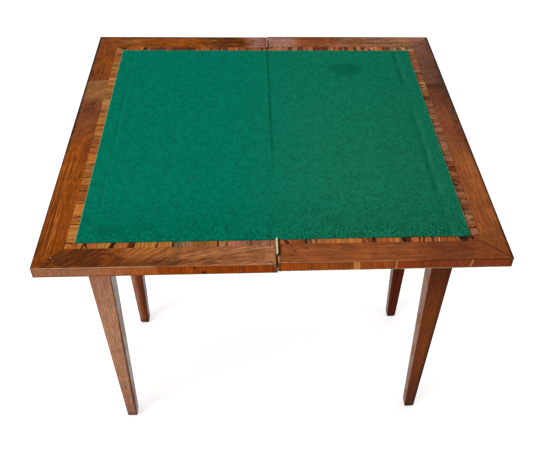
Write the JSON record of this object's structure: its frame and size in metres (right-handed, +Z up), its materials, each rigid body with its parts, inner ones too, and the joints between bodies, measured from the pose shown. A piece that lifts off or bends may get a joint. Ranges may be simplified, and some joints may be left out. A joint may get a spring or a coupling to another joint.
{
  "type": "swivel-top folding card table",
  "caption": "Square baize-topped card table in walnut whose hinged leaves fold over, turn on a bolt and cover the well of a frame on tapered legs.",
  "frame": {"origin": "on the floor under the centre of the open square top, which is the centre of the box", "axes": "+Z is up. +X runs along the frame, from the flap to the fixed leaf, across the seam. -Y faces the viewer of the picture, along the seam."},
  "size_m": [0.8, 0.803, 0.7642],
  "materials": {
    "walnut": "waxed, satin",
    "walnut_band": "french polished",
    "tulipwood": "french polished",
    "beech": "worn polish",
    "poplar": "bare",
    "fir": "bare",
    "baize": "napped wool cloth",
    "brass": "worn, satin",
    "iron": "dark forged"
  },
  "bodies": {
    "frame": {"leg_front_left": "walnut", "leg_front_right": "walnut", "leg_back_right": "walnut", "leg_back_left": "walnut", "apron_front": "walnut", "apron_back": "walnut", "apron_left": "walnut", "apron_right": "walnut", "well_bottom": "fir", "pivot_rail": "fir"},
    "fixed_leaf": {"fixed_core": "poplar", "fixed_clamp_front": "poplar", "fixed_clamp_back": "poplar", "fixed_border_front": "walnut_band", "fixed_crossband_front": "tulipwood", "fixed_edge_front": "walnut", "fixed_border_side": "walnut_band", "fixed_crossband_side": "tulipwood", "fixed_edge_side": "walnut", "fixed_border_back": "walnut_band", "fixed_crossband_back": "tulipwood", "fixed_edge_back": "walnut", "fixed_field_ground": "poplar", "fixed_seam_lipping": "beech", "fixed_baize": "baize", "fixed_backing_veneer": "poplar", "fixed_swivel_plate": "iron", "fixed_swivel_plate_screw_1": "iron", "fixed_swivel_plate_screw_2": "iron", "fixed_swivel_plate_screw_3": "iron", "fixed_swivel_plate_screw_4": "iron", "fixed_swivel_bolt": "iron", "fixed_swivel_washer": "iron", "fixed_swivel_nut": "iron", "fixed_stop_peg": "beech", "front_hinge_fixed_plate": "brass", "front_hinge_pin": "brass", "back_hinge_fixed_plate": "brass", "back_hinge_pin": "brass"},
    "flap": {"flap_core": "poplar", "flap_clamp_front": "poplar", "flap_clamp_back": "poplar", "flap_border_front": "walnut_band", "flap_crossband_front": "tulipwood", "flap_edge_front": "walnut", "flap_border_side": "walnut_band", "flap_crossband_side": "tulipwood", "flap_edge_side": "walnut", "flap_border_back": "walnut_band", "flap_crossband_back": "tulipwood", "flap_edge_back": "walnut", "flap_field_ground": "poplar", "flap_seam_lipping": "beech", "flap_baize": "baize", "flap_outer_veneer": "walnut", "front_hinge_flap_plate": "brass", "back_hinge_flap_plate": "brass"}
  },
  "joints": [
    {"name": "top_swivel", "type": "hinge", "parent": "frame", "child": "fixed_leaf", "pos_m": [0.1, 0.1, 0.74], "axis": [0, 0, -1], "range_deg": [0, 90]},
    {"name": "flap_fold", "type": "hinge", "parent": "fixed_leaf", "child": "flap", "pos_m": [0, 0, 0.7615], "axis": [0, 1, 0], "range_deg": [0, 180]}
  ]
}
